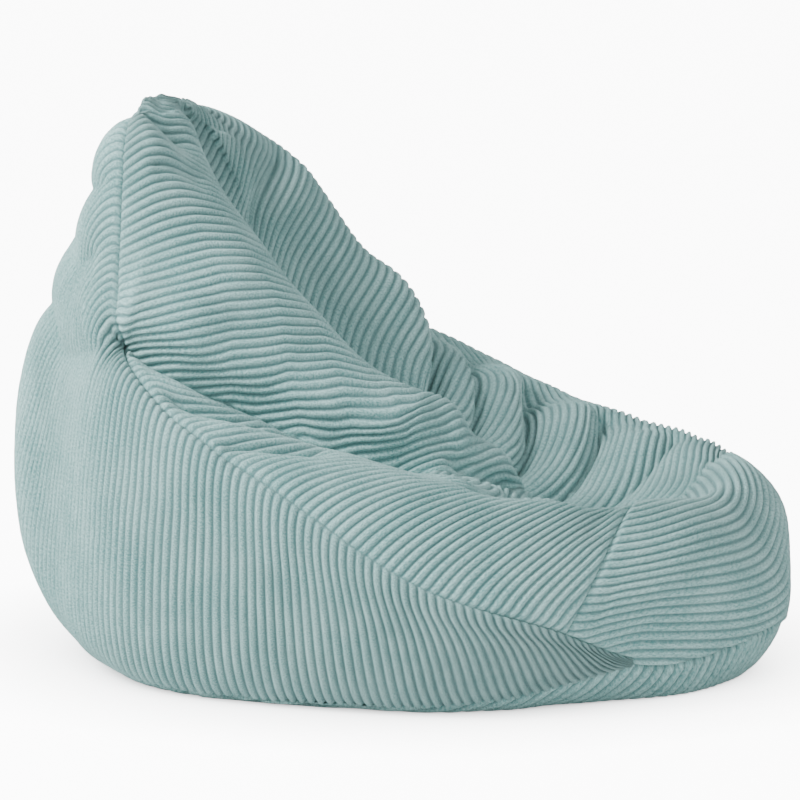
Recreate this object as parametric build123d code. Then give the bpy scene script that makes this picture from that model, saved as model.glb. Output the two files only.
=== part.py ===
from build123d import *
import os

# Bean bag lounge chair, in millimetres. +Z up, the sitter faces -Y, +X to the side.
# The origin is on the floor, at the centre of the bag's bounding box.
# From the outside in: corduroy cover panels, liner with its own zip, loose bead fill.

# ---- driving dimensions -------------------------------------------------------------------

# Outline of the bag at rising heights: height, front edge, back edge, half width.
OUTLINE = (
    (0, -478, 425, 350),
    (70, -515, 475, 420),
    (180, -520, 515, 448),
    (330, -330, 530, 440),
    (450, -60, 520, 385),
    (600, 110, 465, 290),
    (745, 240, 375, 150),
)

# Seat hollow: two ellipsoids, each as centre (x, y, z) and half sizes (x, y, z).
PAN_CENTRE, PAN_HALF = (0, -150, 485), (262, 275, 270)
TROUGH_CENTRE, TROUGH_HALF, TROUGH_TILT = (0, 40, 640), (190, 380, 190), 50

CLOTH = 4.0  # corduroy with its pile
LINER_CLOTH = 1.5
BASE_RISE = 26  # the base panel turns up to this height
SEAT_SKIN_DEPTH = 60  # skin deeper inside the outline than this belongs to the seat

# Side view (y, z) of the seam between the wall and the seat panels, front to peak.
WALL_SEAM = (
    (-470, 60),
    (-358, 108),
    (-160, 196),
    (75, 322),
    (190, 396),
    (297, 485),
    (345, 600),
    (372, 790),
)
FRONT_BACK_Y = -318  # the front panel ends here, inside the seat
FRONT_HALF_TOP, FRONT_HALF_LOW = 200, 360  # half widths at the lip and at the base
LIP_HEIGHT = 280

# Zips. Both run along Y under the bag; the cover's has a pull, the liner's has none.
COVER_ZIP_LENGTH, COVER_ZIP_X = 500.0, 0.0
LINER_ZIP_LENGTH, LINER_ZIP_X = 400.0, 120.0
TAPE_LIFT, TAPE_THICK, TAPE_WIDTH = 6.4, 0.6, 18.0
TEETH_HALF, TEETH_HEIGHT = 3.0, 1.8
TOOTH_PITCH, TOOTH_LENGTH = 5.0, 3.2
SLIDER_WIDTH, SLIDER_LENGTH, PLATE = 13.0, 16.0, 1.0
TAPE_GAP = 0.4  # clear height between the slider's plates and the tapes
WEDGE_HALF, WEDGE_LENGTH = 2.2, 4.0
STOP_LENGTH, END_MARGIN = 4.0, 6.0
SLOT_HALF = 8.0
HEM_WIDTH = 14.0
CHANNEL_HALF = 27.0
CHANNEL_CLEAR = 2.0
LINER_FLOOR = CLOTH
SLIDER_GAP = 1.0  # between a closed slider's end and the stops
PIN_R, LUG_HOLE_R = 0.75, 0.82
LUG_WIDTH = 2.4
PULL_LENGTH, PULL_WIDTH, PULL_THICK = 26.0, 6.0, 1.4
PULL_HEIGHT = 1.75  # height of the pull's pin above the floor
PULL_STUB = 1.2  # how far the pull's ears reach past the pin, clear of the slider when it turns

BIG = 2000


# ---- body shapes --------------------------------------------------------------------------


def outline_body(inset):
    """The bag's outside without its seat hollow, drawn in by inset."""
    sections = []
    last = len(OUTLINE) - 1
    for index, (height, front, back, half_width) in enumerate(OUTLINE):
        if index == 0:
            height += inset
        if index == last:
            height -= inset
        plane = Plane.XY.offset(height)
        centre_y = (front + back) / 2
        half_depth = (back - front) / 2 - inset
        sections.append(plane * Pos(0, centre_y) * Ellipse(half_width - inset, half_depth))
    return loft(sections)


def ellipsoid(centre, half_sizes, tilt, grow):
    """A solid ellipsoid, turned by tilt degrees about X, with grow added all round."""
    grown = tuple(size + grow for size in half_sizes)
    ball = scale(Rot(0, 90, 0) * Sphere(1), by=grown)  # poles at the sides, clear of x = 0
    return Pos(*centre) * Rot(tilt, 0, 0) * ball


def hollow(grow):
    """What the sitter has pressed out: the seat pan and the trough up the back."""
    pan = ellipsoid(PAN_CENTRE, PAN_HALF, 0, grow)
    trough = ellipsoid(TROUGH_CENTRE, TROUGH_HALF, TROUGH_TILT, grow)
    return pan + trough


def bag(inset):
    """The whole bag as one closed solid, inset from the outside all round."""
    return outline_body(inset) - hollow(inset)


def half_space(side):
    """A block filling everything on one side of the plane x = 0."""
    return Pos(side * BIG / 2, 0, 0) * Box(BIG, BIG, BIG)


def below(height):
    return Pos(0, 0, height - BIG / 2) * Box(BIG, BIG, BIG)


def behind_wall_seam():
    """A block filling everything behind and below the seam of the wall."""
    seam = Spline(*[Vector(0, y, z) for y, z in WALL_SEAM])
    start, end = seam @ 0, seam @ 1
    corners = (
        Vector(0, start.Y, start.Z),
        Vector(0, start.Y, -BIG / 4),
        Vector(0, BIG / 2, -BIG / 4),
        Vector(0, BIG / 2, end.Z),
        Vector(0, end.Y, end.Z),
    )
    edges = Polyline(*corners)
    region = make_face(seam.edges() + edges.edges())
    return extrude(region, amount=BIG / 2, dir=(1, 0, 0), both=True)


def front_wedge():
    """The block that holds the front panel, narrower at the lip than at the base."""
    rise = LIP_HEIGHT
    spread = FRONT_HALF_LOW - FRONT_HALF_TOP
    top = FRONT_HALF_TOP - spread
    corners = (
        (-FRONT_HALF_LOW, 0),
        (FRONT_HALF_LOW, 0),
        (top, 2 * rise),
        (-top, 2 * rise),
    )
    face = Plane.XZ.offset(-FRONT_BACK_Y) * make_face(Polyline(*corners, close=True))
    return extrude(face, amount=BIG / 4, dir=(0, -1, 0))


# ---- zips ---------------------------------------------------------------------------------


def block(x_range, y_range, z_range):
    """A box from its lowest and highest x, y and z."""
    size = [high - low for low, high in (x_range, y_range, z_range)]
    centre = [(high + low) / 2 for low, high in (x_range, y_range, z_range)]
    return Pos(*centre) * Box(*size)


def zip_channel(x, length, floor):
    """The room above a zip that the layer over it leaves free."""
    top = floor + TAPE_LIFT + TAPE_THICK + TAPE_GAP + PLATE + CHANNEL_CLEAR
    half = length / 2 + END_MARGIN + STOP_LENGTH + SLIDER_LENGTH
    return block((x - CHANNEL_HALF, x + CHANNEL_HALF), (-half, half), (-BIG / 4, top))


def zip_slot(x, length):
    """The opening in the base cloth that the zip closes."""
    half = length / 2 + END_MARGIN
    return block((x - SLOT_HALF, x + SLOT_HALF), (-half, half), (-BIG / 4, BIG / 4))


def zip_hem(x, side, length, floor, cloth):
    """The turned-in edge of the base cloth beside a zip, up to the tape."""
    half = length / 2 + END_MARGIN
    near, far = x + side * SLOT_HALF, x + side * (SLOT_HALF + HEM_WIDTH)
    return block(
        (min(near, far), max(near, far)),
        (-half, half),
        (floor + cloth, floor + TAPE_LIFT),
    )


def zip_tape(x, side, length, floor):
    """One woven tape of the zip, lying on its hem."""
    half = length / 2
    near, far = x + side * TEETH_HALF, x + side * (TEETH_HALF + TAPE_WIDTH)
    low = floor + TAPE_LIFT
    tape = block((min(near, far), max(near, far)), (-half, half), (low, low + TAPE_THICK))
    long_edges = tape.edges().filter_by(Axis.Z)
    return fillet(long_edges, 1.5)


def closed_y(length):
    """The y of the slider's middle when the zip is closed."""
    return -length / 2 + END_MARGIN + STOP_LENGTH + SLIDER_GAP + SLIDER_LENGTH / 2


def zip_teeth(x, length, floor):
    """The closed chain: two woven-in cords with teeth that cross between them."""
    low = floor + TAPE_LIFT - TEETH_HEIGHT
    start = closed_y(length) - SLIDER_LENGTH / 2 + WEDGE_LENGTH + SLIDER_GAP
    end = length / 2 - END_MARGIN - STOP_LENGTH
    chain = block((x - 0.8, x + 0.8), (start, end), (low + 0.3, floor + TAPE_LIFT - 0.1))
    count = int((end - start) / TOOTH_PITCH)
    bars = []
    for index in range(count):
        y = start + (index + 0.5) * TOOTH_PITCH
        bars.append(
            block(
                (x - TEETH_HALF, x + TEETH_HALF),
                (y - TOOTH_LENGTH / 2, y + TOOTH_LENGTH / 2),
                (low, floor + TAPE_LIFT),
            )
        )
    return chain.fuse(*bars)


def zip_stop(x, y, half_width, floor):
    """A small clamp round both tape edges at one end of the chain."""
    low, high = floor + TAPE_LIFT - TEETH_HEIGHT, floor + TAPE_LIFT
    stop = block(
        (x - half_width, x + half_width),
        (y - STOP_LENGTH / 2, y + STOP_LENGTH / 2),
        (low, high),
    )
    return fillet(stop.edges().filter_by(Axis.Z), 0.8)


def zip_slider(x, length, floor, with_lug):
    """Two plates round the tapes, joined by the wedge that parts the teeth."""
    y = closed_y(length)
    tape_low, tape_high = floor + TAPE_LIFT, floor + TAPE_LIFT + TAPE_THICK
    upper_low = tape_high + TAPE_GAP
    lower_high = tape_low - TEETH_HEIGHT - TAPE_GAP
    half = SLIDER_WIDTH / 2
    y_range = (y - SLIDER_LENGTH / 2, y + SLIDER_LENGTH / 2)
    upper = block((x - half, x + half), y_range, (upper_low, upper_low + PLATE))
    lower = block((x - half, x + half), y_range, (lower_high - PLATE, lower_high))
    upper = fillet(upper.edges().filter_by(Axis.Z), 4)
    lower = fillet(lower.edges().filter_by(Axis.Z), 4)
    wedge = block(
        (x - WEDGE_HALF, x + WEDGE_HALF),
        (y_range[0] + 0.2, y_range[0] + WEDGE_LENGTH),
        (lower_high - PLATE / 2, upper_low + PLATE / 2),
    )
    slider = upper + lower + wedge
    for side in (-1, 1):
        near, far = x + side * (half - PLATE), x + side * half
        flange = block(
            (min(near, far), max(near, far)),
            (y - 3.5, y + 3.5),
            (lower_high - PLATE / 2, tape_low - TAPE_GAP),
        )
        slider += flange
    if with_lug:
        slider += pull_lug(x, y, lower_high - PLATE)
    return slider


def pull_lug(x, y, top):
    """The eye under the slider that carries the pull's pin."""
    low = PULL_HEIGHT - PIN_R - 0.7
    lug = block((x - LUG_WIDTH / 2, x + LUG_WIDTH / 2), (y - 2.2, y + 2.2), (low, top + 0.2))
    pin_hole = Pos(x, y, PULL_HEIGHT) * Rot(0, 90, 0) * Cylinder(LUG_HOLE_R, BIG / 10)
    return lug - pin_hole


def zip_pull(x, y):
    """The pull tab with its pin, lying back along the zip under the slider."""
    ear_near = LUG_WIDTH / 2 + 0.3
    half = PULL_WIDTH / 2
    low, high = PULL_HEIGHT - PULL_THICK / 2, PULL_HEIGHT + PULL_THICK / 2
    plate = block((x - half, x + half), (y - PULL_STUB, y + PULL_LENGTH), (low, high))
    plate = fillet(plate.edges().filter_by(Axis.Z), 2.2)
    window = block((x - ear_near, x + ear_near), (y - BIG / 10, y + 3.4), (low - 1, high + 1))
    grip = Pos(x, y + PULL_LENGTH - 6, PULL_HEIGHT) * Box(2.4, 6, BIG / 10)
    pin = Pos(x, y, PULL_HEIGHT) * Rot(0, 90, 0) * Cylinder(PIN_R, PULL_WIDTH - 0.6)
    return plate - window - grip + pin


def make_zip(prefix, x, length, floor, with_pull):
    """All the pieces of one zip, by node name."""
    first_stop_y = -length / 2 + END_MARGIN + STOP_LENGTH / 2
    last_stop_y = length / 2 - END_MARGIN - STOP_LENGTH / 2
    pieces = {
        prefix + "_zip_tape_left": zip_tape(x, -1, length, floor),
        prefix + "_zip_tape_right": zip_tape(x, 1, length, floor),
        prefix + "_zip_teeth": zip_teeth(x, length, floor),
        prefix + "_zip_top_stop": zip_stop(x, first_stop_y, TEETH_HALF + 2, floor),
        prefix + "_zip_bottom_stop": zip_stop(x, last_stop_y, TEETH_HALF + 2, floor),
        prefix + "_zip_slider": zip_slider(x, length, floor, with_pull),
    }
    if with_pull:
        pieces[prefix + "_zip_pull"] = zip_pull(x, closed_y(length))
    return pieces


# ---- the bag's layers ---------------------------------------------------------------------


def make_cover():
    """The corduroy cover as its cut panels, each a curved sheet one cloth thick."""
    skin = bag(0) - bag(CLOTH)
    wall_zone = behind_wall_seam() - outline_body(SEAT_SKIN_DEPTH)
    base = (skin & below(BASE_RISE)) - zip_slot(COVER_ZIP_X, COVER_ZIP_LENGTH)
    upper = skin - below(BASE_RISE)
    pieces = {"cover_front_panel": upper & front_wedge()}
    upper = upper - front_wedge()
    for name, side in (("left", -1), ("right", 1)):
        half = upper & half_space(side)
        pieces["cover_wall_panel_" + name] = half & wall_zone
        pieces["cover_seat_panel_" + name] = half - wall_zone
        hem = zip_hem(COVER_ZIP_X, side, COVER_ZIP_LENGTH, 0, CLOTH)
        pieces["cover_base_panel_" + name] = (base & half_space(side)) + hem
    return pieces


def make_liner_and_fill():
    """The liner's two halves, its base and the bead fill that it holds."""
    cover_room = zip_channel(COVER_ZIP_X, COVER_ZIP_LENGTH, 0)
    liner_room = zip_channel(LINER_ZIP_X, LINER_ZIP_LENGTH, LINER_FLOOR)
    outside = bag(CLOTH) - cover_room
    inside = bag(CLOTH + LINER_CLOTH)
    inside = inside - Pos(0, 0, LINER_CLOTH) * grown_channel(COVER_ZIP_X, COVER_ZIP_LENGTH)
    skin = outside - inside
    fill = inside - liner_room
    base = skin & below(BASE_RISE)
    upper = skin - below(BASE_RISE)
    base = base - zip_slot(LINER_ZIP_X, LINER_ZIP_LENGTH)
    pieces = {"bead_fill": fill}
    for name, side in (("left", -1), ("right", 1)):
        pieces["liner_panel_" + name] = upper & half_space(side)
    for side in (-1, 1):
        base += zip_hem(LINER_ZIP_X, side, LINER_ZIP_LENGTH, LINER_FLOOR, LINER_CLOTH)
    pieces["liner_base_panel"] = base
    return pieces


def grown_channel(x, length):
    """The cover zip's channel with the liner cloth added round it."""
    room = zip_channel(x, length, 0)
    return room + Pos(LINER_CLOTH, LINER_CLOTH, 0) * room + Pos(-LINER_CLOTH, -LINER_CLOTH, 0) * room


def main():
    os.makedirs("parts", exist_ok=True)
    pieces = {}
    pieces.update(make_cover())
    pieces.update(make_liner_and_fill())
    pieces.update(make_zip("cover", COVER_ZIP_X, COVER_ZIP_LENGTH, 0, True))
    pieces.update(make_zip("liner", LINER_ZIP_X, LINER_ZIP_LENGTH, LINER_FLOOR, False))
    for name, shape in pieces.items():
        export_step(shape, f"parts/{name}.step")


main()
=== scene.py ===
import math

import bpy
import numpy as np
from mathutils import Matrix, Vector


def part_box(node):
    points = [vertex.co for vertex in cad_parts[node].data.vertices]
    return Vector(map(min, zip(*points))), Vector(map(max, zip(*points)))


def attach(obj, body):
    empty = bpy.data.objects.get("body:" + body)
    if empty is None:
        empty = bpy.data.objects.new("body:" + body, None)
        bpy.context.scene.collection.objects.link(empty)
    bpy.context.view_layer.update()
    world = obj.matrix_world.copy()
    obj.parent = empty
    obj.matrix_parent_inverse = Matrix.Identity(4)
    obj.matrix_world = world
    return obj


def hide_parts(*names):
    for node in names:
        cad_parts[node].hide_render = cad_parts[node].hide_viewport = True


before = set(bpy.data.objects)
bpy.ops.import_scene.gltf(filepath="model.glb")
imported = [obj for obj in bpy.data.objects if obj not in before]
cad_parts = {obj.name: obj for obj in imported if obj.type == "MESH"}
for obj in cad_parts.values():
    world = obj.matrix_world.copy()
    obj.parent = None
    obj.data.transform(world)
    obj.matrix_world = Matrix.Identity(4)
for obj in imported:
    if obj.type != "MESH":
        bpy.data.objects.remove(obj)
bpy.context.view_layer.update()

# A bean bag lounger in wide-rib corduroy. The sitter faces -Y, near side is -X, metres throughout.
# The cover is one closed surface over a net of rings (from the seat's centre seam out to the
# footprint) and meridians (from the front centre round the near side to the back and on).
# Each sewn panel is a part of that surface, meshed along its own ribs.

# ---- the net ------------------------------------------------------------------------------

# Rings, inside out: centre seam, valley, inner wall, crest, shoulder, wall seam, upper wall,
# lower wall, base seam, footprint. Each group is one meridian of the near side: (|x|, y, z).
NET = (
    # M0 front centre
    ((0, -.340, .205), (0, -.375, .208), (0, -.410, .222), (0, -.455, .250), (0, -.520, .185),
     (0, -.549, .094), (0, -.548, .087), (0, -.546, .080), (0, -.541, .072), (0, -.476, 0)),
    # M1 tip of the wall panel
    ((0, -.340, .205), (.045, -.368, .208), (.088, -.392, .225), (.130, -.430, .262), (.195, -.477, .210),
     (.246, -.424, .066), (.2455, -.4235, .063), (.245, -.423, .060), (.2445, -.4225, .057),
     (.185, -.420, 0)),
    # M2 seam between front and seat panels
    ((0, -.340, .205), (.065, -.360, .208), (.130, -.375, .228), (.195, -.400, .272), (.275, -.395, .220),
     (.335, -.358, .112), (.337, -.352, .094), (.330, -.350, .066), (.305, -.347, .036), (.250, -.335, 0)),
    # M3 arm, front
    ((0, -.240, .185), (.070, -.265, .190), (.150, -.300, .220), (.245, -.330, .276), (.355, -.275, .252),
     (.430, -.205, .176), (.436, -.195, .130), (.420, -.195, .070), (.378, -.195, .012), (.345, -.190, 0)),
    # M4 arm, back
    ((0, -.165, .262), (.060, -.175, .270), (.150, -.165, .262), (.285, -.130, .305), (.395, -.065, .325),
     (.452, .000, .298), (.462, .000, .200), (.446, .000, .095), (.396, .000, .008), (.375, .000, 0)),
    # M5 the deep fold, from the bend in the wall seam
    ((0, -.035, .325), (.070, -.060, .345), (.150, -.045, .338), (.240, .050, .372), (.310, .170, .432),
     (.362, .262, .474), (.410, .270, .350), (.405, .270, .165), (.345, .255, .008), (.325, .245, 0)),
    # M6 back roll
    ((0, .205, .455), (.050, .195, .460), (.096, .165, .552), (.175, .182, .612), (.255, .235, .622),
     (.290, .296, .590), (.308, .350, .470), (.292, .385, .250), (.235, .345, .008), (.215, .325, 0)),
    # M7 top corner
    ((0, .280, .615), (.042, .274, .620), (.085, .272, .694), (.135, .292, .724), (.183, .303, .747),
     (.204, .316, .733), (.202, .380, .612), (.175, .466, .440), (.140, .375, .006), (.125, .355, 0)),
    # M8 peak and back centre
    ((0, .300, .738), (0, .306, .741), (0, .314, .744), (0, .322, .745), (0, .331, .742),
     (0, .340, .734), (0, .393, .615), (0, .490, .415), (0, .398, .006), (0, .376, 0)),
)
# The far side sags lower: (meridian, ring) to (|x|, y, z).
FAR_SIDE = {
    (7, 1): (.038, .268, .618), (7, 2): (.072, .258, .662), (7, 3): (.108, .264, .678),
    (7, 4): (.145, .290, .692), (7, 5): (.175, .330, .690),
    (6, 1): (.055, .212, .470), (6, 2): (.120, .215, .540), (6, 3): (.200, .205, .598),
    (6, 4): (.268, .245, .600),
    (5, 3): (.275, .075, .412), (5, 2): (.185, .020, .325), (5, 1): (.090, .000, .275),
    (4, 3): (.310, -.095, .302), (4, 2): (.170, -.140, .235), (4, 1): (.070, -.135, .215),
    (4, 4): (.395, -.060, .304),
    (3, 3): (.245, -.320, .272), (3, 4): (.350, -.270, .248), (2, 3): (.190, -.400, .268),
}
# Where the near seat panel's cloth breaks under the back roll, as (ring, meridian).
BREAK = ((0, 3.7), (1, 3.9), (1.6, 4.1), (2.1, 4.35), (2.5, 4.65), (3, 4.9), (3.6, 5.0), (5, 5.0))
MERIDIANS = 2 * (len(NET) - 1)
RINGS = len(NET[0])
CREST, SEAM, BASE_SEAM, FOOTPRINT = 3, 5, 8, 9
TIP, FRONT_SEAM, BACK = 1, 2, 8
U_STEPS, V_STEPS = 48, 26
PEAK_SPREAD, PEAK_RINGS, PEAK_PASSES = .22, .9, 24  # how far the peak's rounding reaches

# ---- corduroy -----------------------------------------------------------------------------

RIB_PITCH = .0134
RIB_HEIGHT = .0048
RIB_UNEVEN = .12
LUMPS, CRINKLES = .0016, .0006  # low wide and narrow unevenness of the cloth
RIB_SINK = .7  # how much of a rib's height lies below the net's surface
COLUMNS = 8  # mesh columns across one rib
ROW = .0065  # mesh rows along a rib
FINE = 400  # samples along the line that spaces a panel's rows
SLOT_HALF = .008  # half width of the zip's slot in the base
SLOT_SPARE = .006  # how far the slot runs on past each end of the zip
SEAM_DIP = .0032
SEAM_REACH = .0045
HEM = .009
HEM_SCALE, HEM_SHIFT = (.2, .5, .35), (0, 0, .12)  # where hems point: into the body
WELD_REACH = 2e-6
FLOOR_GAP = .0003
WELT_FROM_SEAM, WELT_WIDTH = .0052, .0028
FRONT_START = .03  # the ring number where the front panel starts, just outside the centre seam
FRONT_WELT = .0024
FRONT_SLANT = .24  # the front panel is cut with its ribs sloping down to the near side

# ---- linings ------------------------------------------------------------------------------

LINING_EASE = .014  # the linings' folds are this much wider and deeper than the cover's
LINING_U_STEPS, LINING_V_STEPS = 24, 13
LINING_RINGS = (0, 8.9)
LINING_SCALE = .97
LINING_UV = (.1, .08)  # about the metres of cloth in one meridian and one ring
BODY_CENTRE = np.array([0, 0, .25])
PEAK_HEIGHT, PEAK_SAG = .56, .3  # the linings sink away from the peak above this height
FLOOR_SHARE = .6  # how much of a lining's inset it keeps above the floor
DISC_CENTRE = np.array([0, -.05, 0])
DISC_RINGS = 14
NO_TRIANGLES = np.zeros((0, 3), int)

# ---- folds --------------------------------------------------------------------------------

# Each fold is a line over the net, as (meridian, ring) points, with its depth and width, and
# for a fold with a roll hanging over it, the width of the roll's side and which side that is.
# A negative depth is a swell. The far side counts on past the back: meridian 16 is 0 again.
FOLDS = (
    # the deep fold under the near back roll, from the wall seam into the seat
    (((5.5, 5.4), (5.15, 5.05), (5, 4.2), (4.98, 3.4), (4.85, 2.8), (4.6, 2.3), (4.3, 2.1)),
     .050, .036, .020, 1),
    (((4.72, 5.0), (4.66, 4.2), (4.64, 3.4), (4.7, 2.7)), .026, .026, .014, 1),
    (((4.35, 5.0), (4.32, 4.2), (4.3, 3.5)), .016, .022, .012, 1),
    # its shallow run round the wall to the back
    (((8.3, 6.95), (7.4, 6.85), (6.4, 6.5), (5.6, 5.75), (5.0, 4.9)), .012, .026, .022, 1),
    # the near back roll and its lower end, lying on the seat
    (((5.55, 4.6), (5.6, 3.4), (5.45, 2.5), (5.15, 1.7), (4.75, 1.1), (4.4, .8)), -.034, .062),
    (((10.5, .4), (11.1, .8), (11.7, .9), (12.3, .5)), .022, .032),
    # the hollow behind it
    (((7.9, 1.2), (7.3, 1.1), (6.7, 1.0), (6.1, .9), (5.6, .5)), .034, .034, .020, -1),
    # pinches at the back of the wall
    (((7.7, 6.0), (6.9, 5.7), (6.45, 5.05)), .009, .024, .018, 1),
    (((7.5, 6.45), (6.5, 6.0), (6.0, 5.15)), .009, .026, .018, 1),
    # folds below the top corner
    (((7.45, 4.9), (7.2, 3.9), (7.0, 3.0), (6.85, 2.1)), .018, .020, .012, 1),
    (((7.75, 4.8), (7.6, 3.8), (7.4, 2.8)), .008, .014),
    (((6.5, 4.2), (6.45, 3.4), (6.4, 2.7)), .008, .022, .014, 1),
    # petals inside the far arm
    (((11.1, 4.4), (11.05, 3.3), (11.0, 2.2), (10.95, 1.0)), .052, .034, .018, -1),
    (((11.5, 4.0), (11.45, 3.0), (11.4, 2.0), (11.25, .8)), .040, .030, .016, -1),
    (((11.95, 4.1), (11.9, 3.1), (11.85, 2.0), (11.7, .8)), .042, .034, .018, -1),
    (((12.45, 3.6), (12.4, 3.0), (12.35, 2.0), (12.2, .9)), .032, .032, .018, -1),
    (((12.95, 3.3), (12.9, 2.8), (12.85, 2.0), (12.7, .9)), .020, .030, .022, -1),
    # bends across the far back roll
    (((9.6, 3.9), (9.55, 3.0), (9.5, 2.0), (9.5, 1.1)), .014, .026, .016, 1),
    # the same inside the near arm
    (((4.5, 1.9), (4.2, 1.6), (3.9, .9), (3.75, .2)), .020, .022, .014, 1),
    (((3.6, 3.3), (3.6, 2.2), (3.7, 1.2)), .030, .032, .020, 1),
    (((3.0, 3.2), (3.05, 2.2), (3.1, 1.2)), .026, .032, .020, 1),
    # gathers where the front panel meets the arms
    (((2.3, 3.9), (2.25, 3.3), (2.2, 2.6)), .010, .018),
    (((13.75, 3.5), (13.8, 3.0), (13.9, 2.4)), .012, .024, .018, -1),
)


FOLD_REACH = 1.6  # meridians past a fold's line that can move
FOLD_SAME_SIDE = 2.5  # points further off than this many rings belong to the other side
FADE_IN, FADE_OUT = .2, .25  # shares of a fold's length
LIP_SWELL, LIP_SLIDE = .45, .9  # how a roll swells up, and slides over its fold
SWELL_AT, SWELL_WIDTH = 2.6, 1.9  # in widths of the roll's side of the fold
SLIDE_AT, SLIDE_WIDTH = 1.8, 1.3

# ---- small numerical helpers --------------------------------------------------------------


def second_derivatives(knots, values):
    """Natural cubic spline through values at knots, for many curves at once."""
    count, n = knots.shape
    gaps = np.diff(knots, axis=1)
    matrix = np.zeros((count, n, n))
    right = np.zeros((count, n, values.shape[2]))
    matrix[:, 0, 0] = matrix[:, -1, -1] = 1
    for k in range(1, n - 1):
        matrix[:, k, k - 1] = gaps[:, k - 1]
        matrix[:, k, k] = 2 * (gaps[:, k - 1] + gaps[:, k])
        matrix[:, k, k + 1] = gaps[:, k]
        slope_after = (values[:, k + 1] - values[:, k]) / gaps[:, k, None]
        slope_before = (values[:, k] - values[:, k - 1]) / gaps[:, k - 1, None]
        right[:, k] = 6 * (slope_after - slope_before)
    return np.linalg.solve(matrix, right)


def spline_rows(points, first, last, steps):
    """Points on a cubic spline through each row of points, from knot first to knot last."""
    chords = np.linalg.norm(np.diff(points, axis=1), axis=2)
    chords = np.maximum(chords, 1e-4)
    knots = np.concatenate([np.zeros((len(points), 1)), np.cumsum(chords, axis=1)], axis=1)
    bend = second_derivatives(knots, points)
    columns = []
    for k in range(first, last):
        gap = (knots[:, k + 1] - knots[:, k])[:, None]
        end = steps + (k == last - 1)
        for t in np.arange(end) / steps:
            a, b = 1 - t, t
            value = a * points[:, k] + b * points[:, k + 1]
            value = value + ((a**3 - a) * bend[:, k] + (b**3 - b) * bend[:, k + 1]) * gap**2 / 6
            columns.append(value)
    return np.stack(columns, axis=1)


def periodic_curve(points, steps):
    """A closed smooth curve through points, with steps samples between neighbours."""
    count = len(points)
    wrap = 4
    extended = np.concatenate([points[-wrap:], points, points[: wrap + 1]])
    curve = spline_rows(extended[None], 0, len(extended) - 1, steps)[0]
    return curve[wrap * steps : (wrap + count) * steps]


def soft_normals(grid, passes):
    """Normals averaged over their neighbours, so that tight corners don't tear.

    The first steps weigh each normal by its area, so they keep their lengths.
    """
    along_u = np.roll(grid, -1, axis=0) - np.roll(grid, 1, axis=0)
    normal = np.cross(along_u, np.gradient(grid, axis=1))
    for step in range(passes + 4):
        beside_u = np.roll(normal, 1, axis=0) + np.roll(normal, -1, axis=0)
        padded = np.concatenate([normal[:, :1], normal, normal[:, -1:]], axis=1)
        normal = 2 * normal + beside_u + padded[:, :-2] + padded[:, 2:]
        if step > 3:
            normal = unit(normal)
    return normal


def smooth_step(x):
    """Eases from 0 to 1 as x does."""
    x = np.clip(x, 0, 1)
    return x * x * (3 - 2 * x)


def line_lengths(line):
    """The distance along a line of points, at each point."""
    return np.concatenate([[0], np.cumsum(np.linalg.norm(np.diff(line, axis=0), axis=1))])


def unit(vectors):
    """Vectors along the last axis, scaled to length one."""
    return vectors / np.maximum(np.linalg.norm(vectors, axis=-1, keepdims=True), 1e-12)


# ---- the whole surface --------------------------------------------------------------------


def net_points():
    """The full net, (meridians, rings, xyz), near side first and then the far side."""
    near = np.array(NET, float)
    points = []
    for index in range(MERIDIANS):
        mirror = index > BACK
        source = MERIDIANS - index if mirror else index
        line = near[source].copy()
        if mirror:
            for ring in range(RINGS):
                if (source, ring) in FAR_SIDE:
                    line[ring] = FAR_SIDE[(source, ring)]
        line[:, 0] *= 1 if mirror else -1
        points.append(line)
    return np.array(points)


def beside(ring, tangents, other):
    """For each point of a ring, the point of the other ring straight across from it."""
    reach = U_STEPS * 3 // 2
    best = None
    for shift in range(-reach, reach + 1):
        moved = np.roll(other, -shift, axis=0)
        miss = np.abs(np.sum(tangents * (moved - ring), axis=1)) + 1e-4 * abs(shift) / U_STEPS
        if best is None:
            best, found = miss.copy(), moved.copy()
        closer = miss < best
        best[closer] = miss[closer]
        found[closer] = moved[closer]
    return found


def make_surface():
    """The smooth closed surface without folds: the top inside the wall seam, then the walls."""
    net = net_points()
    rings = np.stack([periodic_curve(net[:, k], U_STEPS) for k in range(RINGS)], axis=1)
    from_front = (np.arange(len(rings)) / U_STEPS + MERIDIANS / 2) % MERIDIANS - MERIDIANS / 2
    share = np.abs(from_front)[:, None]
    for ring in range(SEAM + 1, BASE_SEAM + 1):
        centre = net[0, ring] - net[0, SEAM]
        far_tip, near_tip = (net[side, ring] - net[side, SEAM] for side in (-TIP, TIP))
        tip = np.where(from_front[:, None] < 0, far_tip, near_tip)
        strip = rings[:, SEAM] + centre * (1 - share) + tip * share
        rings[:, ring] = np.where(share < TIP, strip, rings[:, ring])
    seam = rings[:, SEAM]
    tangents = np.roll(seam, -1, axis=0) - np.roll(seam, 1, axis=0)
    tangents /= np.maximum(np.linalg.norm(tangents, axis=1, keepdims=True), 1e-9)
    below = beside(seam, tangents, rings[:, SEAM + 1])
    above = beside(seam, tangents, rings[:, SEAM - 1])
    on_wall = smooth_step((share - TIP) / .8)
    below = on_wall * below + (1 - on_wall) * (rings[:, BASE_SEAM] * 2 - seam)
    above = on_wall * above + (1 - on_wall) * rings[:, SEAM - 1]
    top_points = np.concatenate([rings[:, : SEAM + 1], below[:, None]], axis=1)
    wall_points = np.concatenate([above[:, None], rings[:, SEAM:]], axis=1)
    top = spline_rows(top_points, 0, SEAM, V_STEPS)
    wall = spline_rows(wall_points, 1, 1 + FOOTPRINT - SEAM, V_STEPS)
    return np.concatenate([top, wall[:, 1:]], axis=1)


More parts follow.
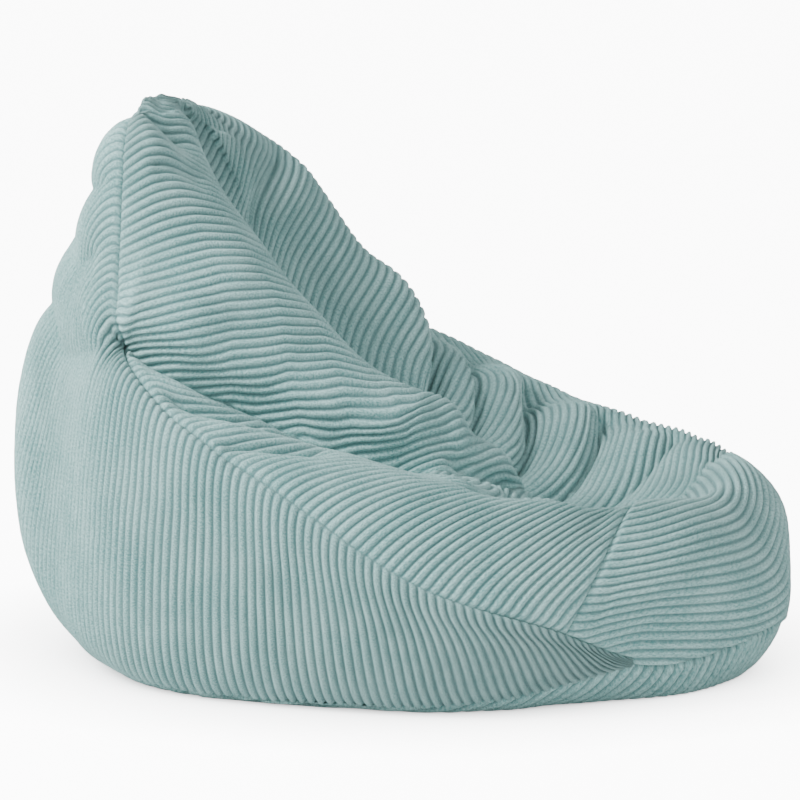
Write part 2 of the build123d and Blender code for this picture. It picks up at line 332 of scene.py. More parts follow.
def at(grid, u, v):
    """The grid's points at fractional meridians u and rings v."""
    column = np.asarray(u, float) * U_STEPS
    row = np.clip(np.asarray(v, float) * V_STEPS, 0, grid.shape[1] - 1.001)
    i, j = np.floor(column).astype(int), np.floor(row).astype(int)
    a, b = (column - i)[..., None], (row - j)[..., None]
    i0, i1 = i % len(grid), (i + 1) % len(grid)
    low = grid[i0, j] * (1 - a) + grid[i1, j] * a
    high = grid[i0, j + 1] * (1 - a) + grid[i1, j + 1] * a
    return low * (1 - b) + high * b


def fold_surface(grid, ease=0.0):
    """The surface with every fold pressed in along its normals. Ease makes each one wider and deeper."""
    normals = soft_normals(grid, 30)
    v = np.arange(grid.shape[1])[None] / V_STEPS
    moved = np.zeros(grid.shape)
    for line, depth, width, *roll in FOLDS:
        depth, width = depth + ease, width + ease
        line = np.array(line)
        t = np.linspace(0, len(line) - 1, 4 * (len(line) - 1) + 1)
        line_u = np.interp(t, np.arange(len(line)), line[:, 0])
        line_v = np.interp(t, np.arange(len(line)), line[:, 1])
        path = at(grid, line_u, line_v)
        first, last = line_u.min() - FOLD_REACH, line_u.max() + FOLD_REACH
        columns = np.arange(int(first * U_STEPS), int(last * U_STEPS))
        u = columns[:, None] / U_STEPS
        part = grid[columns % len(grid)]
        nearest = np.full(part.shape[:2], np.inf)
        place = np.zeros(part.shape[:2])
        side = np.ones(part.shape[:2])
        toward = np.zeros(part.shape)
        for index in range(len(path) - 1):
            run = path[index + 1] - path[index]
            along = np.clip((part - path[index]) @ run / (run @ run), 0, 1)
            away = path[index] + along[..., None] * run - part
            run_u, run_v = line_u[index + 1] - line_u[index], line_v[index + 1] - line_v[index]
            off_u = u - line_u[index] - along * run_u
            off_v = v - line_v[index] - along * run_v
            gap = np.linalg.norm(away, axis=2) + (np.abs(off_v) > FOLD_SAME_SIDE)
            closer = gap < nearest
            nearest[closer] = gap[closer]
            side[closer] = (run_u * off_v - run_v * off_u)[closer]
            toward[closer] = away[closer]
            place[closer] = ((index + along) / (len(path) - 1))[closer]
        fade = smooth_step(place / FADE_IN) * smooth_step((1 - place) / FADE_OUT)
        if roll:
            tight, lip_side = roll[0] + ease, roll[1]
            swell = LIP_SWELL if ease == 0 else 0
            lip = side * lip_side > 0
            widths = nearest / tight
            swollen = swell * np.exp(-(((widths - SWELL_AT) / SWELL_WIDTH) ** 2))
            slid = LIP_SLIDE * swell * np.exp(-(((widths - SLIDE_AT) / SLIDE_WIDTH) ** 2))
            shape = np.where(lip, np.exp(-widths) - swollen, np.exp(-((nearest / width) ** 1.3)))
            slide = np.where(lip, slid, 0)
            toward /= np.maximum(np.linalg.norm(toward, axis=2, keepdims=True), 1e-9)
            moved[columns % len(grid)] += toward * (depth * fade * slide)[..., None]
        elif depth > 0:
            shape = np.exp(-nearest / width) * (1 + nearest / width * .35)
        else:
            shape = np.exp(-((nearest / width) ** 2))
        moved[columns % len(grid)] -= normals[columns % len(grid)] * (depth * fade * shape)[..., None]
    return grid + moved


def relax_peak(grid):
    """Rounds off the peak, where every ring turns back on itself."""
    u = np.arange(len(grid))[:, None] / U_STEPS
    v = np.arange(grid.shape[1])[None] / V_STEPS
    beside_back = np.exp(-(((u - BACK) / PEAK_SPREAD) ** 2))
    weight = .5 * beside_back * (1 - smooth_step((v - SEAM) / PEAK_RINGS))
    for _ in range(PEAK_PASSES):
        wide = np.concatenate([grid[:, :1], grid, grid[:, -1:]], axis=1)
        middle = (np.roll(grid, 1, axis=0) + np.roll(grid, -1, axis=0) + wide[:, :-2] + wide[:, 2:]) / 4
        grid = grid + weight[..., None] * (middle - grid)
    return grid


def close_middle(grid):
    """Makes both sides of the centre seam share its line, and eases them into it."""
    mirror = -np.arange(len(grid)) % len(grid)
    shift = (grid[mirror, 0] - grid[:, 0]) / 2
    ease = 1 - smooth_step(np.arange(grid.shape[1]) / (.8 * V_STEPS))
    return grid + shift[:, None] * ease[None, :, None]


# ---- ribbed panels ------------------------------------------------------------------------


class Panel:
    """Collects one panel's mesh: rows of points between two seams, cut into rib columns."""

    def __init__(self, name):
        self.name = name
        self.points, self.normals, self.phase, self.along, self.edge = [], [], [], [], []
        self.count = 0
        self.quads, self.triangles = [], []
        self.rows = []

    def add_row(self, line, normals, phase, along, end_gap):
        """Adds a row along line (points), whose rib phase (metres) rises along it."""
        step = RIB_PITCH / COLUMNS
        first = math.ceil(phase[0] / step + .35)
        last = math.floor(phase[-1] / step - .35)
        keys = np.arange(first, last + 1)
        spots = np.concatenate([[phase[0]], keys * step, [phase[-1]]])
        lengths = line_lengths(line)
        length_at = np.interp(spots, phase, lengths)
        row_points = np.stack([np.interp(spots, phase, line[:, k]) for k in range(3)], axis=1)
        row_normals = np.stack([np.interp(spots, phase, normals[:, k]) for k in range(3)], axis=1)
        self.points.append(row_points)
        self.normals.append(row_normals)
        self.phase.append(spots)
        self.along.append(np.full(len(spots), along))
        self.edge.append(np.minimum(np.minimum(length_at, lengths[-1] - length_at), end_gap))
        self.rows.append((self.count, first, last))
        self.count += len(spots)

    def join_rows(self, a, b):
        """Faces between two rows that share rib columns."""
        start_a, first_a, last_a = a
        start_b, first_b, last_b = b
        low, high = max(first_a, first_b), min(last_a, last_b)
        size_a, size_b = last_a - first_a + 3, last_b - first_b + 3
        if high < low:
            self.fan(start_a + np.arange(size_a), start_b + np.arange(size_b))
            return
        here = start_a + 1 + np.arange(low - first_a, high - first_a + 1)
        there = start_b + 1 + np.arange(low - first_b, high - first_b + 1)
        quads = np.stack([here[:-1], here[1:], there[1:], there[:-1]], axis=1)
        self.quads.append(quads)
        self.fan(start_a + np.arange(0, low - first_a + 2), start_b + np.arange(0, low - first_b + 2))
        self.fan(
            start_a + np.arange(high - first_a + 1, size_a),
            start_b + np.arange(high - first_b + 1, size_b),
        )

    def fan(self, a, b):
        """Triangles between two short runs of points."""
        i = j = 0
        while i < len(a) - 1 or j < len(b) - 1:
            step_a = j == len(b) - 1 or (i < len(a) - 1 and i * (len(b) - 1) <= j * (len(a) - 1))
            if step_a:
                self.triangles.append((a[i], a[i + 1], b[j]))
                i += 1
            else:
                self.triangles.append((a[i], b[j + 1], b[j]))
                j += 1

    def close_block(self):
        """Joins all rows added since the last block."""
        for a, b in zip(self.rows[:-1], self.rows[1:]):
            self.join_rows(a, b)
        self.rows = []


def rib_shape(phase):
    """The height of a rib over one pitch: round on top, narrow between."""
    t = phase / RIB_PITCH
    across = np.abs(2 * (t - np.floor(t)) - 1)
    return smooth_step((1 - across) / .8)


def wobble(points, scale, seed):
    """Smooth repeatable unevenness between about -1 and 1."""
    rng = np.random.default_rng(seed)
    total = np.zeros(len(points))
    for _ in range(6):
        direction = rng.normal(size=3)
        direction *= scale / np.linalg.norm(direction) * rng.uniform(.6, 1.5)
        total += np.sin(points @ direction + rng.uniform(0, 2 * math.pi))
    return total / 3


def outline_edges(quads, triangles):
    """The directed edges that only one face uses."""
    edges = []
    for faces in (quads, triangles):
        for k in range(faces.shape[1] if len(faces) else 0):
            edges.append(np.stack([faces[:, k], faces[:, (k + 1) % faces.shape[1]]], axis=1))
    edges = np.concatenate(edges)
    size = edges.max() + 1
    forward = edges[:, 0] * size + edges[:, 1]
    backward = edges[:, 1] * size + edges[:, 0]
    return edges[~np.isin(forward, backward)]


def weld(points, quads, triangles, extras):
    """Merges points that lie on each other, and drops faces that collapse."""
    grid_keys = np.round(points / WELD_REACH).astype(np.int64)
    _, first, back = np.unique(grid_keys, axis=0, return_index=True, return_inverse=True)
    back = back.reshape(-1)
    points = points[first]
    extras = [e[first] for e in extras]
    quads, triangles = back[quads], back[triangles]
    corners = np.array([len(set(face)) for face in quads.tolist()])
    for face in quads[corners == 3].tolist():
        triangles = np.concatenate([triangles, [list(dict.fromkeys(face))]])
    quads = quads[corners == 4]
    bad = (
        (triangles[:, 0] == triangles[:, 1])
        | (triangles[:, 1] == triangles[:, 2])
        | (triangles[:, 0] == triangles[:, 2])
    )
    return points, quads, triangles[~bad], extras


def mesh_object(name, points, quads, triangles, uv):
    """A smooth-shaded Blender object from arrays, with a UV map in metres."""
    mesh = bpy.data.meshes.new(name)
    loops = np.concatenate([quads.reshape(-1), triangles.reshape(-1)]).astype(np.int32)
    starts = np.concatenate([
        np.arange(len(quads)) * 4,
        len(quads) * 4 + np.arange(len(triangles)) * 3,
    ]).astype(np.int32)
    mesh.vertices.add(len(points))
    mesh.vertices.foreach_set("co", points.astype(np.float32).reshape(-1))
    mesh.loops.add(len(loops))
    mesh.loops.foreach_set("vertex_index", loops)
    mesh.polygons.add(len(starts))
    mesh.polygons.foreach_set("loop_start", starts)
    mesh.update(calc_edges=True)
    layer = mesh.uv_layers.new(name="cloth")
    layer.data.foreach_set("uv", uv[loops].astype(np.float32).reshape(-1))
    mesh.polygons.foreach_set("use_smooth", np.full(len(starts), True))
    mesh.validate()
    mesh.update()
    piece = bpy.data.objects.new(name, mesh)
    bpy.context.scene.collection.objects.link(piece)
    return piece


def finish_panel(panel, flip=False, welt=0.0):
    """Turns a panel's rows into ribbed cloth with its edges drawn into the seams."""
    points = np.concatenate(panel.points)
    phase = np.concatenate(panel.phase)
    along = np.concatenate(panel.along)
    edge = np.concatenate(panel.edge)
    quads = np.concatenate(panel.quads)
    triangles = np.array(panel.triangles, int).reshape(-1, 3)
    normals = np.concatenate(panel.normals)
    points, quads, triangles, extras = weld(points, quads, triangles, [phase, along, edge, normals])
    phase, along, edge, normals = extras
    normals = unit(normals)
    fade = 1 - np.exp(-edge / (SEAM_REACH * .6))
    height = RIB_HEIGHT * (1 + RIB_UNEVEN * wobble(points, 45, 3))
    lift = height * rib_shape(phase) * fade
    lift += LUMPS * wobble(points, 16, 5) * fade + CRINKLES * wobble(points, 70, 7) * fade
    lift -= SEAM_DIP * np.exp(-((edge / SEAM_REACH) ** 1.5))
    lift += welt * np.exp(-(((edge - WELT_FROM_SEAM) / WELT_WIDTH) ** 2))
    points = points + normals * (lift - RIB_HEIGHT * RIB_SINK)[:, None]
    points[:, 2] = np.maximum(points[:, 2], FLOOR_GAP)
    rim = outline_edges(quads, triangles)
    rim_points, where = np.unique(rim, return_inverse=True)
    where = where.reshape(rim.shape)
    inward = points[rim_points] * HEM_SCALE + HEM_SHIFT - points[rim_points]
    inner = points[rim_points] + inward * (HEM / np.linalg.norm(inward, axis=1))[:, None]
    base = len(points)
    flange = np.stack([rim[:, 1], rim[:, 0], base + where[:, 0], base + where[:, 1]], axis=1)
    uv = np.stack([phase, along], axis=1)
    inner_uv = uv[rim_points] + (0, HEM)
    points = np.concatenate([points, inner])
    uv = np.concatenate([uv, inner_uv])
    quads = np.concatenate([quads, flange])
    if flip:
        quads, triangles = quads[:, ::-1], triangles[:, ::-1]
    return mesh_object(panel.name, points, quads, triangles, uv)


def row_places(length):
    """Distances of the rows along a rib, closer together at both ends."""
    edge = np.array([0, .0012, .0026, .0044, .007, .0105])
    inner = np.linspace(edge[-1], length - edge[-1], max(2, int(round(length / ROW))))
    return np.concatenate([edge[:-1], inner, (length - edge[:-1])[::-1]])


def even_lengths(lines, spread):
    """Length along each row of points, evened out over neighbouring rows."""
    lengths = np.cumsum(np.linalg.norm(np.diff(lines, axis=1, prepend=lines[:, :1]), axis=2), axis=1)
    offsets = np.arange(-2 * spread, 2 * spread + 1)
    weights = np.exp(-((offsets / spread) ** 2))
    weights /= weights.sum()
    rows = np.arange(len(lines))
    near_rows = [np.clip(rows + offset, 0, len(lines) - 1) for offset in offsets]
    return sum(weight * lengths[near] for weight, near in zip(weights, near_rows))


def section_edge(edge, rows):
    """The meridian of a section's edge at each row."""
    if isinstance(edge, tuple):
        return np.interp(rows, *np.transpose(edge))
    return np.full(len(rows), float(edge))


def upright_ribs(name, grid, sections, v_range, reference_u):
    """A panel whose ribs run from ring to ring, its rows spaced along the meridian reference_u.

    Each section is (first u, last u, the u its rib phase is counted from, the phase there).
    An edge is one u, or (ring, u) pairs.
    """
    panel = Panel(name)
    fine_v = np.linspace(*v_range, FINE)
    run = line_lengths(at(grid, np.full(FINE, reference_u), fine_v))
    places = row_places(run[-1])
    rows = np.interp(places, run, fine_v)
    for first_u, last_u, centre_u, phase_0 in sections:
        first, last = section_edge(first_u, rows), section_edge(last_u, rows)
        count = int((last - first).max() * U_STEPS) + 1
        uu = np.linspace(first, last, count, axis=1)
        vv = np.repeat(rows[:, None], count, axis=1)
        lines, facing = at(grid, uu, vv), at(cloth_normals, uu, vv)
        lengths = even_lengths(lines, 8)
        for u, line, normal, length, place in zip(uu, lines, facing, lengths, places):
            phase = length - np.interp(centre_u, u, length) + phase_0 + np.arange(count) * 1e-9
            panel.add_row(line, normal, phase, place, min(place, places[-1] - place))
        panel.close_block()
    return finish_panel(panel)


def front_panel(name, grid):
    """The front panel: its ribs run across, from one front seam to the other."""
    panel = Panel(name)
    fine_u = np.linspace(-FRONT_SEAM, FRONT_SEAM, FINE)
    run = line_lengths(at(grid, fine_u, np.full(FINE, float(CREST))))
    places = row_places(run[-1])
    columns = np.interp(places, run, fine_u)
    for tip_u in (-TIP, TIP):
        columns[np.abs(columns - tip_u).argmin()] = tip_u
    for u, place in zip(columns, places):
        last_v = SEAM if abs(u) > TIP + 1e-9 else BASE_SEAM
        v = np.linspace(FRONT_START, last_v, int(last_v * V_STEPS) + 1)
        line = at(grid, np.full(len(v), u), v)
        lengths = line_lengths(line)
        middle = np.interp(CREST, v, lengths)
        phase = lengths - middle - FRONT_SLANT * place + np.arange(len(v)) * 1e-9
        end_gap = min(place, places[-1] - place)
        facing = at(cloth_normals, np.full(len(v), u), v)
        panel.add_row(line, facing, phase, place, end_gap)
    panel.close_block()
    return finish_panel(panel, flip=True, welt=FRONT_WELT)


def base_point(ring, foot, ring_normals, x, y):
    """Points and normals of the underside: flat on the floor, turned up near the base seam."""
    spots = np.stack([x, y], axis=1)
    to_ring = np.linalg.norm(spots[:, None] - ring[None, :, :2], axis=2)
    nearest = to_ring.argmin(axis=1)
    width = np.linalg.norm(ring[nearest, :2] - foot[nearest, :2], axis=1)
    turn = np.clip(1 - to_ring.min(axis=1) / np.maximum(width, .01), 0, 1)[:, None]
    points = np.concatenate([spots, ring[nearest, 2:] * turn**2], axis=1)
    normals = ring_normals[nearest] * turn + np.array([0, 0, -1]) * (1 - turn)
    return points, normals


def base_panel(name, grid, side):
    """Half of the underside. Its ribs run front to back, and the zip's slot is left open."""
    panel = Panel(name)
    row = BASE_SEAM * V_STEPS
    ring, foot, ring_normals = grid[:, row], grid[:, FOOTPRINT * V_STEPS], cloth_normals[:, row]
    mine = ring[:, 0] * side > -1e-9
    half = ring[mine]
    outermost = half[np.abs(half[:, 0]).argmax()]
    widest, widest_y = abs(outermost[0]), outermost[1]
    zip_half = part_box("cover_zip_tape_left")[1][1] + SLOT_SPARE
    front_edge, back_edge = half[half[:, 1] < widest_y], half[half[:, 1] >= widest_y]
    front_edge = front_edge[np.argsort(np.abs(front_edge[:, 0]))]
    back_edge = back_edge[np.argsort(np.abs(back_edge[:, 0]))]
    front_y, back_y = ring[:, 1].min(), ring[:, 1].max()
    shares = row_places(back_y - front_y)
    shares = shares / shares[-1]
    step = RIB_PITCH / COLUMNS
    slot_x = math.ceil(SLOT_HALF / step) * step
    row_y = shares * (back_y - front_y) + front_y
    cut = [int(np.abs(row_y - y).argmin()) for y in (-zip_half, zip_half)]
    lines = [np.arange(0, slot_x, step), np.arange(slot_x, widest, step), [widest - 1e-5]]
    lines = np.concatenate(lines)
    points, normals, edge, quads = [], [], [], []
    for x in lines:
        y_front = np.interp(x, np.abs(front_edge[:, 0]), front_edge[:, 1])
        y_back = np.interp(x, np.abs(back_edge[:, 0]), back_edge[:, 1])
        y = y_front + shares * (y_back - y_front)
        line, facing = base_point(ring, foot, ring_normals, np.full(len(y), x * side), y)
        line[0, 2] = np.interp(x, np.abs(front_edge[:, 0]), front_edge[:, 2])
        line[-1, 2] = np.interp(x, np.abs(back_edge[:, 0]), back_edge[:, 2])
        points.append(line)
        normals.append(facing)
        gap = np.linalg.norm(line[:, None, :2] - ring[None, ::3, :2], axis=2).min(axis=1)
        to_middle = np.where(np.abs(y) < zip_half, x - slot_x, x)
        gap = np.minimum(gap, np.maximum(to_middle, 0))
        gap[0] = gap[-1] = 0
        edge.append(gap)
    count = len(shares)
    base = np.arange(count - 1)
    for number in range(len(lines) - 1):
        here, there = number * count + base, (number + 1) * count + base
        faces = np.stack([here, there, there + 1, here + 1], axis=1)
        if lines[number] < slot_x - 1e-9:
            faces = faces[(base < cut[0]) | (base >= cut[1])]
        quads.append(faces)
    panel.points, panel.normals, panel.edge = points, normals, edge
    panel.phase = [np.full(count, x) for x in lines]
    panel.along = [line[:, 1] for line in points]
    panel.quads = quads
    return finish_panel(panel, flip=side > 0)


# ---- build --------------------------------------------------------------------------------

smooth_surface = relax_peak(make_surface())
surface = close_middle(relax_peak(fold_surface(smooth_surface)))
cloth_normals = close_middle(soft_normals(surface, 6))
lining_surface = close_middle(relax_peak(fold_surface(smooth_surface, ease=LINING_EASE)))
lining_normals = soft_normals(lining_surface, 24)

seat_left = upright_ribs(
    "corduroy_seat_left", surface,
    ((FRONT_SEAM, BREAK, 3.5, 0), (BREAK, BACK, 6.5, .003)), (0.0, SEAM), 4.0,
)
seat_right = upright_ribs(
    "corduroy_seat_right", surface,
    ((BACK, 11, 9.5, .005), (11, 14, 12.5, 0)), (0.0, SEAM), 12.0,
)
wall_left = upright_ribs(
    "corduroy_wall_left", surface, ((TIP, BACK, 4.0, 0),), (SEAM, BASE_SEAM), 6.0
)
wall_right = upright_ribs(
    "corduroy_wall_right", surface, ((BACK, 15, 12.0, 0),), (SEAM, BASE_SEAM), 10.0
)
front = front_panel("corduroy_front", surface)
base_left = base_panel("corduroy_base_left", surface, -1)
base_right = base_panel("corduroy_base_right", surface, 1)
covers = {
    seat_left: "cover_seat_panel_left", seat_right: "cover_seat_panel_right",
    wall_left: "cover_wall_panel_left", wall_right: "cover_wall_panel_right",
    front: "cover_front_panel", base_left: "cover_base_panel_left", base_right: "cover_base_panel_right",
}
for piece in covers:
    print(piece.name, len(piece.data.vertices), len(piece.data.polygons))

# ---- finishes -----------------------------------------------------------------------------


class Finish:
    """A material built from nodes. Each call adds one node and returns its output."""

    def __init__(self, name, roughness, **facts):
        self.material = bpy.data.materials.new(name)
        self.material.use_nodes = True
        self.tree = self.material.node_tree
        self.shader = self.tree.nodes["Principled BSDF"]
        self.set("Roughness", roughness)
        for key, value in facts.items():
            self.set(key.replace("_", " "), value)

    def set(self, socket, value):
        self.shader.inputs[socket].default_value = value

    def link(self, value, socket):
        if isinstance(value, (int, float, tuple)):
            socket.default_value = value
        else:
            self.tree.links.new(value, socket)

    def math(self, kind, a, b=0.0, c=0.0):
        node = self.tree.nodes.new("ShaderNodeMath")
        node.operation = kind
        for value, socket in zip((a, b, c), node.inputs):
            self.link(value, socket)
        return node.outputs[0]

    def place(self, scale, by_uv=True):
        """A stretched position: the cloth's own across, along, or the object's."""
        if by_uv:
            source = self.tree.nodes.new("ShaderNodeUVMap")
            source.uv_map = "cloth"
            out = source.outputs["UV"]
        else:
            out = self.tree.nodes.new("ShaderNodeTexCoord").outputs["Object"]
        node = self.tree.nodes.new("ShaderNodeVectorMath")
        node.operation = "MULTIPLY"
        self.tree.links.new(out, node.inputs[0])
        node.inputs[1].default_value = scale
        return node.outputs[0]

    def noise(self, place, scale=1.0, detail=2.0, rough=.5):
        node = self.tree.nodes.new("ShaderNodeTexNoise")
        self.tree.links.new(place, node.inputs["Vector"])
        node.inputs["Scale"].default_value = scale
        node.inputs["Detail"].default_value = detail
        node.inputs["Roughness"].default_value = rough
        return node.outputs["Fac"]

    def cells(self, place, scale):
        """Distance to the middle of the nearest cell."""
        node = self.tree.nodes.new("ShaderNodeTexVoronoi")
        self.tree.links.new(place, node.inputs["Vector"])
        node.inputs["Scale"].default_value = scale
        return node.outputs["Distance"]

    def ramp(self, value, low, high, out_low, out_high):
        """Value from low to high, stretched to run from out_low to out_high."""
        node = self.tree.nodes.new("ShaderNodeMapRange")
        self.link(value, node.inputs["Value"])
        for key, number in (("From Min", low), ("From Max", high), ("To Min", out_low), ("To Max", out_high)):
            node.inputs[key].default_value = number
        return node.outputs[0]

    def separate(self, vector):
        node = self.tree.nodes.new("ShaderNodeSeparateXYZ")
        self.tree.links.new(vector, node.inputs[0])
        return node.outputs

    def mix(self, amount, a, b):
        node = self.tree.nodes.new("ShaderNodeMix")
        node.data_type = "RGBA"
        self.link(amount, node.inputs[0])
        self.link(a, node.inputs[6])
        self.link(b, node.inputs[7])
        return node.outputs[2]

    def colour(self, value):
        self.link(value, self.shader.inputs["Base Color"])

    def bump(self, height, distance, strength=1.0):
        node = self.tree.nodes.new("ShaderNodeBump")
        node.inputs["Distance"].default_value = distance
        node.inputs["Strength"].default_value = strength
        self.link(height, node.inputs["Height"])
        self.link(node.outputs[0], self.shader.inputs["Normal"])


def corduroy():
    """Wide-rib pile: pale where it is brushed up, flatter between the ribs, and painted darker there as
    shade.
    """
    finish = Finish("corduroy", .93, Sheen_Weight=.3, Sheen_Roughness=.45, Sheen_Tint=(.80, .93, .93, 1),
                    Specular_IOR_Level=.22)
    across = finish.separate(finish.place((1 / RIB_PITCH, 1, 1)))[0]
    off_rib = finish.math("ABSOLUTE", finish.math("SUBTRACT", finish.math("FRACT", across), .5))
    # Mask of the valleys between the ribs, where shade is painted in.
    painted_valley_shade = finish.ramp(off_rib, .22, .44, 0, 1)
    pile = finish.noise(finish.place((900, 520, 1)), detail=2.0, rough=.65)
    tufts = finish.noise(finish.place((420, 280, 1)), detail=3.0, rough=.7)
    streaks = finish.noise(finish.place((150, 9, 1)), detail=3.0, rough=.6)
    crushed = finish.noise(finish.place((1, 1, 1), by_uv=False), scale=13, detail=4.0, rough=.6)
    tone = finish.math("MULTIPLY_ADD", finish.ramp(crushed, .38, .66, 0, 1), .22,
                       finish.math("MULTIPLY", finish.ramp(streaks, .34, .66, 0, 1), .20))
    tone = finish.math("MULTIPLY_ADD", finish.ramp(tufts, .40, .60, 0, 1), .48, tone)
    tone = finish.math("MULTIPLY_ADD", finish.ramp(pile, .34, .68, 0, 1), .16, tone)
    brushed = finish.mix(tone, (.100, .320, .315, 1), (.560, .870, .850, 1))
    # Painted shade: the rib valleys are mixed towards this dark colour.
    finish.colour(finish.mix(finish.math("MULTIPLY", painted_valley_shade, .72), brushed, (.075, .205, .215, 1)))
    grain = finish.math("MULTIPLY_ADD", tufts, .8, finish.math("MULTIPLY", pile, .7))
    finish.bump(grain, .0050)
    return finish.material


def plain_weave(name, low, high):
    """Thin plain cloth with soft creases, painted darker where they dip as shade."""
    finish = Finish(name, .75, Sheen_Weight=.1)
    threads = finish.separate(finish.place((2200, 2200, 1)))
    weave = finish.math("MULTIPLY", finish.math("SINE", threads[0]), finish.math("SINE", threads[1]))
    creases = finish.noise(finish.place((1, 1, 1), by_uv=False), scale=22, detail=4.0)
    # Painted shade: the cloth is darker where the crease bumps dip.
    finish.colour(finish.mix(finish.ramp(creases, .35, .65, 0, 1), low, high))
    finish.bump(finish.math("MULTIPLY_ADD", weave, .15, creases), .002, .5)
    return finish.material


def bead_pack():
    """Loose white polystyrene beads, about four millimetres across, painted grey towards the gaps between
    them as shade.
    """
    finish = Finish("beads", .55)
    cells = finish.cells(finish.place((1, 1, 1), by_uv=False), 240)
    # Painted shade: each bead is light at its middle and greyer towards the gaps between beads.
    finish.colour(finish.mix(finish.ramp(cells, .1, .6, 0, 1), (.86, .86, .84, 1), (.52, .53, .53, 1)))
    finish.bump(finish.math("MULTIPLY", cells, -1.0), .003)
    return finish.material


def zip_tape():
    """Woven zip tape, a shade darker than the cover."""
    finish = Finish("zip_tape", .8, Sheen_Weight=.15)
    ribs = finish.separate(finish.place((1, 1, 1), by_uv=False))
    weave = finish.math("MULTIPLY", finish.math("SINE", finish.math("MULTIPLY", ribs[0], 7000)),
                        finish.math("SINE", finish.math("MULTIPLY", ribs[1], 5200)))
    wear = finish.noise(finish.place((1, 1, 1), by_uv=False), scale=90, detail=3.0)
    finish.colour(finish.mix(finish.ramp(wear, .35, .65, 0, 1), (.17, .31, .31, 1), (.24, .40, .40, 1)))
    finish.bump(weave, .0003, .6)
    return finish.material


def zip_part(name, metallic, roughness, low, high):
    """Moulded or cast zip parts, slightly worn."""
    finish = Finish(name, roughness, Metallic=metallic)
    wear = finish.noise(finish.place((1, 1, 1), by_uv=False), scale=500, detail=4.0)
    finish.colour(finish.mix(finish.ramp(wear, .35, .65, 0, 1), low, high))
    finish.bump(wear, .0002, .4)
    return finish.material


def dress(piece, node, material):
    """Finishes a soft piece that stands in for a plain CAD solid of the bag."""
    piece.data.materials.append(material)
    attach(piece, "bag")
    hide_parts(node)


cloth = corduroy()
for piece, node in covers.items():
    dress(piece, node, cloth)

# ---- the liner bag and its beads, inside the cover ----------------------------------------


def lining(name, u_range, v_range, inset):
    """A smooth piece that follows the cover from inside."""
    u = np.linspace(*u_range, int((u_range[1] - u_range[0]) * LINING_U_STEPS) + 1)
    v = np.linspace(*v_range, int((v_range[1] - v_range[0]) * LINING_V_STEPS) + 1)
    uu, vv = np.meshgrid(u, v, indexing="ij")
    points = at(lining_surface, uu, vv) - at(lining_normals, uu, vv) * inset
    points = (points - BODY_CENTRE) * LINING_SCALE + BODY_CENTRE
    points[..., 2] -= PEAK_SAG * np.maximum(points[..., 2] - PEAK_HEIGHT, 0)
    points[..., 2] = np.maximum(points[..., 2], inset * FLOOR_SHARE)
    index = np.arange(points[..., 0].size).reshape(points.shape[:2])
    corners = [index[:-1, :-1], index[1:, :-1], index[1:, 1:], index[:-1, 1:]]
    quads = np.stack(corners, axis=-1).reshape(-1, 4)
    uv = np.stack([uu.reshape(-1) * LINING_UV[0], vv.reshape(-1) * LINING_UV[1]], axis=1)
    points, quads, triangles, (uv,) = weld(points.reshape(-1, 3), quads, NO_TRIANGLES, [uv])
    return mesh_object(name, points, quads, triangles, uv)


def base_disc(inset):
    """The closing base of the liner."""
    around = np.arange(0, MERIDIANS, .1)
    ring = at(surface, around, np.full(len(around), float(FOOTPRINT)))
    shrink = np.linspace(1, 0, DISC_RINGS)[:, None, None]
    points = (ring[None] - DISC_CENTRE) * shrink * (1 - inset * 2) + DISC_CENTRE
    points[..., 2] = inset * FLOOR_SHARE
    index = np.arange(points[..., 0].size).reshape(points.shape[:2])
    after = np.roll(index, -1, axis=1)
    quads = np.stack([index[:-1], index[1:], after[1:], after[:-1]], axis=-1).reshape(-1, 4)
    return points.reshape(-1, 3), quads


near_side, far_side, all_round = (0, BACK), (BACK, MERIDIANS), (0, MERIDIANS)
liner_left = lining("liner_cloth_left", near_side, LINING_RINGS, .012)
liner_right = lining("liner_cloth_right", far_side, LINING_RINGS, .012)
disc_points, disc_quads = base_disc(.016)
liner_base = mesh_object("liner_cloth_base", disc_points, disc_quads, NO_TRIANGLES, disc_points[:, :2])
weave = plain_weave("liner_cloth", (.62, .64, .63, 1), (.78, .79, .77, 1))
dress(liner_left, "liner_panel_left", weave)
dress(liner_right, "liner_panel_right", weave)
dress(liner_base, "liner_base_panel", weave)
beads = lining("beads_heap", all_round, LINING_RINGS, .017)
dress(beads, "bead_fill", bead_pack())

# ---- the zips keep their CAD shapes -------------------------------------------------------

zip_finishes = {
    "zip_tape": zip_tape(),
    "zip_teeth": zip_part("zip_teeth", 0.0, .4, (.20, .35, .35, 1), (.26, .42, .42, 1)),
    "zip_metal": zip_part("zip_metal", 1.0, .34, (.60, .60, .61, 1), (.74, .74, .74, 1)),
}
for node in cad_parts.values():
    for holder in node.material_slots:
        base_name = holder.material.name.split(".")[0] if holder.material else ""
        if base_name in zip_finishes:
            holder.material = zip_finishes[base_name]

# ---- stage --------------------------------------------------------------------------------

target = np.array([0, 0, .345])
azimuth, elevation, distance = math.radians(-70), math.radians(11), 14.0
view_width = 1.088
sensor = 36
direction = np.array([
    math.sin(azimuth) * math.cos(elevation),
    -math.cos(azimuth) * math.cos(elevation),
    math.sin(elevation),
])
camera_data = bpy.data.cameras.new("camera")
camera = bpy.data.objects.new("camera", camera_data)
bpy.context.scene.collection.objects.link(camera)
camera.location = target + direction * distance
camera.rotation_euler = (math.pi / 2 - elevation, 0, azimuth)
camera_data.sensor_width = sensor
camera_data.lens = sensor * distance / view_width
bpy.context.scene.camera = camera

floor_mesh = bpy.data.meshes.new("floor")
reach = 30
floor_corners = [(-reach, -reach, 0), (reach, -reach, 0), (reach, reach, 0), (-reach, reach, 0)]
floor_mesh.from_pydata(floor_corners, [], [(0, 1, 2, 3)])
floor = bpy.data.objects.new("floor", floor_mesh)
bpy.context.scene.collection.objects.link(floor)
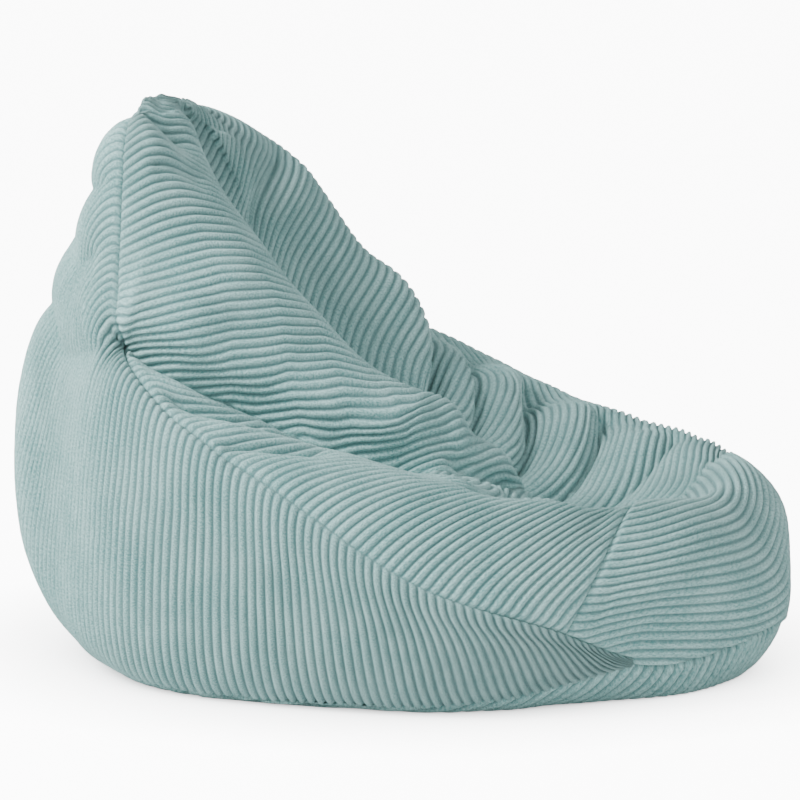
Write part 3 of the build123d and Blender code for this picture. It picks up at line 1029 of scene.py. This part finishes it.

# The floor glows to the camera only, to look as bright as the backdrop; beside the bag an ambient occlusion
# term dims the glow, a painted contact shadow.
floor_paint = bpy.data.materials.new("floor")
floor_paint.use_nodes = True
nodes, links = floor_paint.node_tree.nodes, floor_paint.node_tree.links
floor_shader = nodes["Principled BSDF"].inputs
floor_shader["Base Color"].default_value = (.9, .9, .9, 1)
floor_shader["Roughness"].default_value = .35
floor_shader["Emission Color"].default_value = (1, 1, 1, 1)
floor_path = nodes.new("ShaderNodeLightPath")
floor_glow = nodes.new("ShaderNodeMath")
floor_glow.operation = "MULTIPLY"
# Painted shadow: ambient occlusion dims the floor's glow beside the bag.
painted_floor_shadow = nodes.new("ShaderNodeAmbientOcclusion")
painted_floor_shadow.inputs["Distance"].default_value = .22
shadowed_glow_level = nodes.new("ShaderNodeMapRange")
shadowed_glow_level.inputs["To Min"].default_value = .6
shadowed_glow_level.inputs["To Max"].default_value = 9.8
links.new(painted_floor_shadow.outputs["AO"], shadowed_glow_level.inputs["Value"])
links.new(floor_path.outputs["Is Camera Ray"], floor_glow.inputs[0])
links.new(shadowed_glow_level.outputs[0], floor_glow.inputs[1])
links.new(floor_glow.outputs[0], floor_shader["Emission Strength"])
floor_mesh.materials.append(floor_paint)

# The world is bright to the camera and softer as a light.
world = bpy.data.worlds.new("studio")
bpy.context.scene.world = world
world.use_nodes = True
nodes, links = world.node_tree.nodes, world.node_tree.links
background = nodes["Background"].inputs
background["Color"].default_value = (1, 1, 1, 1)
light_path = nodes.new("ShaderNodeLightPath")
brightness = nodes.new("ShaderNodeMapRange")
brightness.inputs["To Min"].default_value = .98
brightness.inputs["To Max"].default_value = 12.0
links.new(light_path.outputs["Is Camera Ray"], brightness.inputs["Value"])
links.new(brightness.outputs[0], background["Strength"])


def area_light(name, place, energy, width):
    """A square soft light aimed at the target."""
    data = bpy.data.lights.new(name, "AREA")
    data.energy = energy
    data.size = width
    lamp = bpy.data.objects.new(name, data)
    bpy.context.scene.collection.objects.link(lamp)
    lamp.location = place
    aim = target - np.array(place)
    flat = math.hypot(aim[0], aim[1])
    lamp.rotation_euler = (math.atan2(flat, -aim[2]), 0, math.atan2(aim[1], aim[0]) - math.pi / 2)


area_light("key", (-2.0, 1.7, 2.4), 185, 1.1)
area_light("fill", (-2.6, -2.2, 1.2), 22, 1.6)

bpy.context.view_layer.update()
